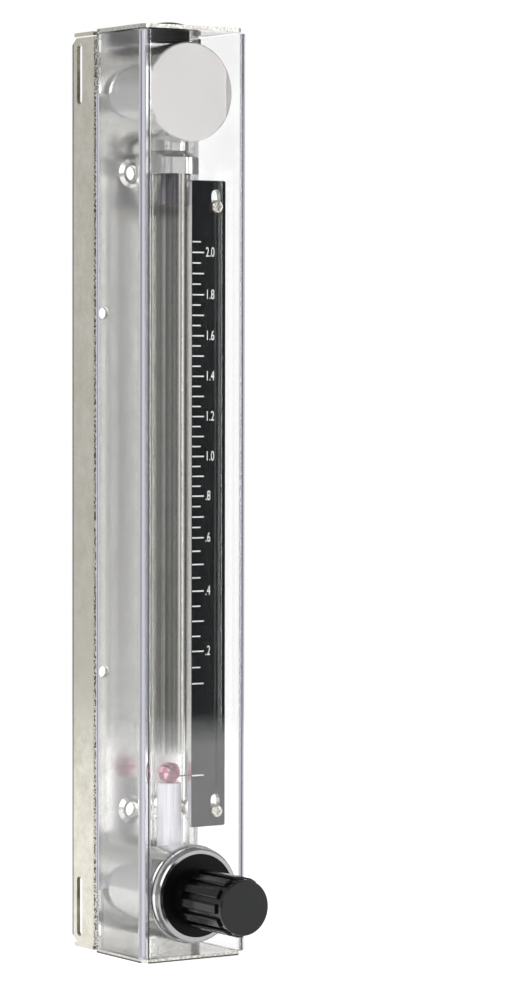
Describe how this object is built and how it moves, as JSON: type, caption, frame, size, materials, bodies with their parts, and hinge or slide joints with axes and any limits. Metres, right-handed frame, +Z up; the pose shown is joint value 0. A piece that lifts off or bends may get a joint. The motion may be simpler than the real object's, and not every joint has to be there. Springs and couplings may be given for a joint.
{
  "type": "rotameter",
  "caption": "Variable-area flow meter: glass tube with ball float and side scale in a folded steel case with a clear shield, rear ports and a front needle valve.",
  "frame": {"origin": "on the metering tube's axis, at the underside of the bottom plate", "axes": "+X to the right seen from the front, -Y to the front where the knob is, +Z up"},
  "size_m": [0.0476, 0.0893, 0.3605],
  "materials": {
    "stainless_sheet": "mill-finish stainless sheet",
    "polished_steel": "polished turned stainless",
    "clear_polycarbonate": "clear, glossy",
    "borosilicate_glass": "clear, fire polished",
    "ruby": "polished synthetic ruby",
    "ptfe": "white, waxy",
    "black_anodised": "black anodised sheet, bare cut edges",
    "black_phenolic": "glossy moulded",
    "black_nylon": "satin moulded",
    "seal_rubber": "moulded black rubber",
    "zinc_plated": "bright plated steel"
  },
  "bodies": {
    "case": {"meter_bracket": "stainless_sheet", "mounting_channel": "stainless_sheet", "shield": "clear_polycarbonate", "access_plug": "black_nylon", "inlet_fitting": "polished_steel", "outlet_fitting": "polished_steel", "inlet_locknut": "polished_steel", "outlet_locknut": "polished_steel", "tube_plug": "polished_steel", "tube_plug_o_ring": "seal_rubber", "tube_gland": "polished_steel", "gland_o_ring": "seal_rubber", "upper_tube_seal": "ptfe", "lower_tube_seal": "ptfe", "metering_tube": "borosilicate_glass", "upper_float_stop": "ptfe", "lower_float_stop": "ptfe", "valve_seat": "ptfe", "bonnet": "polished_steel", "valve_bezel": "black_nylon", "scale_standoffs": "zinc_plated", "scale_screws": "zinc_plated", "standoff_screws": "zinc_plated"},
    "float": {"float_ball": "ruby"},
    "scale": {"scale_plate": "black_anodised"},
    "stem_ring": {"stem_o_ring": "seal_rubber"},
    "valve": {"valve_stem": "polished_steel", "knob": "black_phenolic", "knob_set_screw": "zinc_plated"}
  },
  "joints": [
    {"name": "float_rise", "type": "slide", "parent": "case", "child": "float", "axis": [0, 0, 1], "range_m": [0, 0.2158]},
    {"name": "scale_adjust", "type": "slide", "parent": "case", "child": "scale", "axis": [0, 0, -1], "range_m": [0, 0.0045]},
    {"name": "stem_travel", "type": "slide", "parent": "case", "child": "stem_ring", "axis": [0, -1, 0], "range_m": [0, 0.0032]},
    {"name": "knob_turn", "type": "hinge", "parent": "stem_ring", "child": "valve", "pos_m": [0, -0.04, 0.024], "axis": [0, -1, 0], "range_deg": [0, 1440]}
  ],
  "couplings": [
    {"joint": "knob_turn", "follows": "stem_travel", "rad_per_m": 7854}
  ]
}
